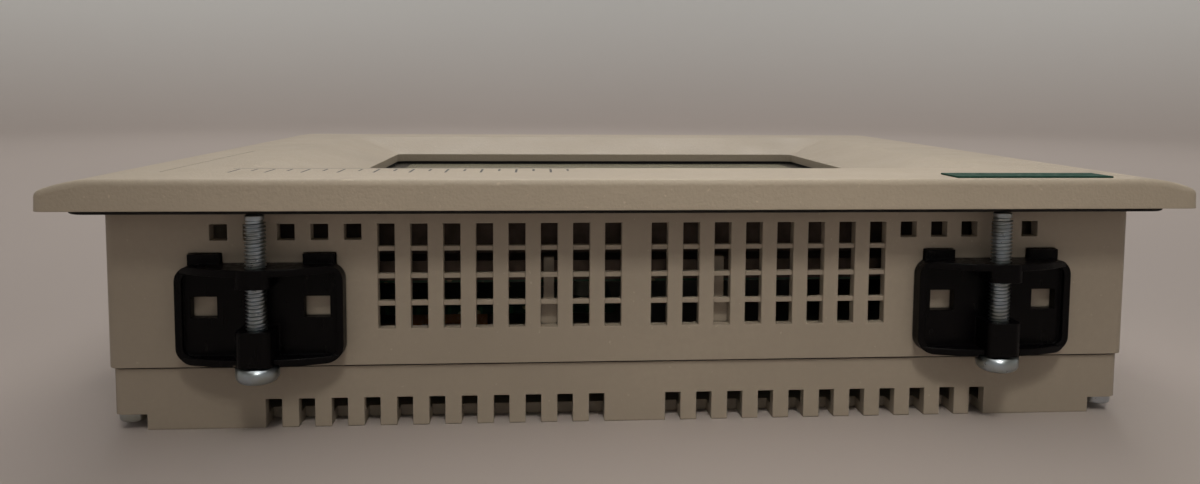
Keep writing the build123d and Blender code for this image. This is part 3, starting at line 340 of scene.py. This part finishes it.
def threaded_rod(axis, low, high):
    """Right-hand thread about a vertical axis with flat ends, the upper one chamfered."""
    around, turns_below, spare_turns, tip_radius = 40, 2, 3, 1.45 * MM
    rows_per_turn = len(THREAD_PROFILE)
    turns = math.ceil((high - low) / THREAD_PITCH) + spare_turns
    bm = bmesh.new()
    grid = []
    for column in range(around):
        angle = 2 * math.pi * column / around
        line = []
        for row in range(turns * rows_per_turn):
            turn, place = divmod(row, rows_per_turn)
            share, radius = THREAD_PROFILE[place]
            z = low + THREAD_PITCH * (turn - turns_below + share + column / around)
            radius = min(radius * MM, tip_radius + max(0.0, high - z))
            x = axis.x + radius * math.cos(angle)
            y = axis.y + radius * math.sin(angle)
            line.append(bm.verts.new((x, y, z)))
        grid.append(line)
    for column in range(around):
        beside = (column + 1) % around
        lift = rows_per_turn if beside == 0 else 0
        for row in range(turns * rows_per_turn - lift - 1):
            bm.faces.new((grid[column][row], grid[beside][row + lift],
                          grid[beside][row + lift + 1], grid[column][row + 1]))
    cut_flat(bm, low, -1)
    cut_flat(bm, high, 1)
    bmesh.ops.recalc_face_normals(bm, faces=bm.faces[:])
    return bm


def screw_head(node, top):
    """The head of a CAD screw: its mesh up to the height top, closed there."""
    bm = bmesh.new()
    bm.from_mesh(frame["nodes"][node].data)
    bmesh.ops.remove_doubles(bm, verts=bm.verts[:], dist=SAME_CORNER)
    cut_flat(bm, top, 1)
    bmesh.ops.dissolve_degenerate(bm, dist=SAME_CORNER, edges=bm.edges[:])
    return bm


def add_piece(name, bm, slot, rides, smooth_angle):
    """A visible piece made from a bmesh, in the finish of a slot, riding on a body.

    Edges that turn less than smooth_angle degrees are shaded smooth.
    """
    mesh = bpy.data.meshes.new(name)
    bm.to_mesh(mesh)
    bm.free()
    piece = bpy.data.objects.new(name, mesh)
    scene.collection.objects.link(piece)
    mesh.materials.append(FINISHES[slot])
    mesh.shade_smooth()
    mesh.set_sharp_from_angle(angle=math.radians(smooth_angle))
    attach(piece, rides)
    return piece


def add_clamp_screws():
    """Clamp screws with a real thread in place of the plain ones. The thread starts in the head."""
    head_height, thread_start = 2.82 * MM, 2.1 * MM
    for place in PLACES:
        node, body = "clamp_screw_" + place, "screw_" + place
        low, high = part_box(node)
        axis = (low + high) / 2
        head_mesh = screw_head(node, low.z + head_height)
        head = add_piece("screw_head_" + place, head_mesh, "clamp_zinc", body, 30)
        rod_mesh = threaded_rod(axis, low.z + thread_start, high.z)
        rod = add_piece("screw_thread_" + place, rod_mesh, "clamp_zinc", body, 40)
        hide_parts(node)
        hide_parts(node)


# ---- Floor, light and camera ----
def add_studio():
    """Pale floor that turns up into a round backdrop, open at the top."""
    inner_radius, floor_radius, cove, height = 0.3, 1.2, 0.5, 1.5
    around, steps = 96, 10
    profile = [(inner_radius, 0.0), (floor_radius, 0.0)]
    for step in range(1, steps + 1):
        turn = math.pi / 2 * step / steps
        profile.append((floor_radius + cove * math.sin(turn), cove - cove * math.cos(turn)))
    profile.append((floor_radius + cove, height))
    verts = [(0.0, 0.0, 0.0)]
    for radius, z in profile:
        for k in range(around):
            angle = 2 * math.pi * k / around
            verts.append((radius * math.cos(angle), radius * math.sin(angle), z))
    faces = [(0, 1 + k, 1 + (k + 1) % around) for k in range(around)]
    for ring in range(len(profile) - 1):
        base = 1 + ring * around
        for k in range(around):
            beside = (k + 1) % around
            faces.append((base + k, base + around + k, base + around + beside, base + beside))
    mesh = bpy.data.meshes.new("studio")
    mesh.from_pydata(verts, [], faces)
    for face in mesh.polygons:
        face.use_smooth = True
    studio = bpy.data.objects.new("studio", mesh)
    scene.collection.objects.link(studio)
    paper, wall = srgb(178, 168, 163), srgb(236, 237, 236)
    finish = Finish("studio_paper", paper, 0.6)
    split = finish.node("ShaderNodeSeparateXYZ", Vector=finish.place)
    rise = finish.between(split.outputs["Z"], 0.0, cove / 2)
    tone = finish.mix(finish.noise(300, 2), scaled(paper, 0.97), scaled(paper, 1.03))
    finish.paint("Base Color", finish.mix(rise, tone, wall))
    studio.data.materials.append(finish.material)


def add_area_light(name, place, target, size, power, colour, spread=180):
    """A rectangular light of a width and height in metres and a power in watts, aimed at target."""
    light = bpy.data.lights.new(name, "AREA")
    light.shape = "RECTANGLE"
    light.size, light.size_y = size
    light.energy = power
    light.color = colour[:3]
    light.spread = math.radians(spread)
    holder = bpy.data.objects.new(name, light)
    holder.location = place
    holder.rotation_euler = (Vector(target) - Vector(place)).to_track_quat("-Z", "Y").to_euler()
    scene.collection.objects.link(holder)


def add_lights():
    """Soft lights behind and above the panel, a weaker one above the camera, and a pale room."""
    middle, vents = (0, 0, 0), (0.022, -0.10, 0.0)
    white, warm_white = srgb(255, 250, 244), srgb(255, 250, 240)
    add_area_light("back", (0.1, 1.0, 1.15), middle, (1.3, 0.4), 8.0, white)
    add_area_light("ceiling", (0.0, 0.05, 1.4), middle, (1.6, 1.6), 7.5, white)
    add_area_light("front", (0.02, -0.42, 0.52), vents, (0.12, 0.1), 0.048, warm_white, 32)
    world = bpy.data.worlds.new("room")
    world.use_nodes = True
    background = world.node_tree.nodes["Background"]
    background.inputs["Color"].default_value = srgb(238, 236, 234)
    background.inputs["Strength"].default_value = 0.065
    scene.world = world


def add_camera():
    """Low in front of the panel's top side, a little left of its middle, looking slightly down."""
    place = Vector((-18.9, -236.7, 64.4)) * MM
    yaw, pitch, roll = math.radians(4.03), math.radians(-4.30), math.radians(0.378)
    camera = bpy.data.cameras.new("camera")
    camera.sensor_width = 36.0
    camera.lens = 26.6
    camera.shift_y = -0.0725
    camera.clip_start = 0.01
    holder = bpy.data.objects.new("camera", camera)
    level_forward = Vector((math.sin(yaw), math.cos(yaw), 0))
    forward = level_forward * math.cos(pitch) + Vector((0, 0, math.sin(pitch)))
    level_right = Vector((math.cos(yaw), -math.sin(yaw), 0))
    level_up = level_right.cross(forward)
    right = level_right * math.cos(roll) + level_up * math.sin(roll)
    up = level_up * math.cos(roll) - level_right * math.sin(roll)
    turn = Matrix((right, up, -forward)).transposed()
    holder.matrix_world = Matrix.Translation(place) @ turn.to_4x4()
    scene.collection.objects.link(holder)
    scene.camera = holder


scene.view_settings.view_transform = "Standard"
paint_nodes()
for node, width_mm in ROUNDED_MM.items():
    round_edges(node, width_mm)
add_clamp_screws()
add_studio()
add_lights()
add_camera()
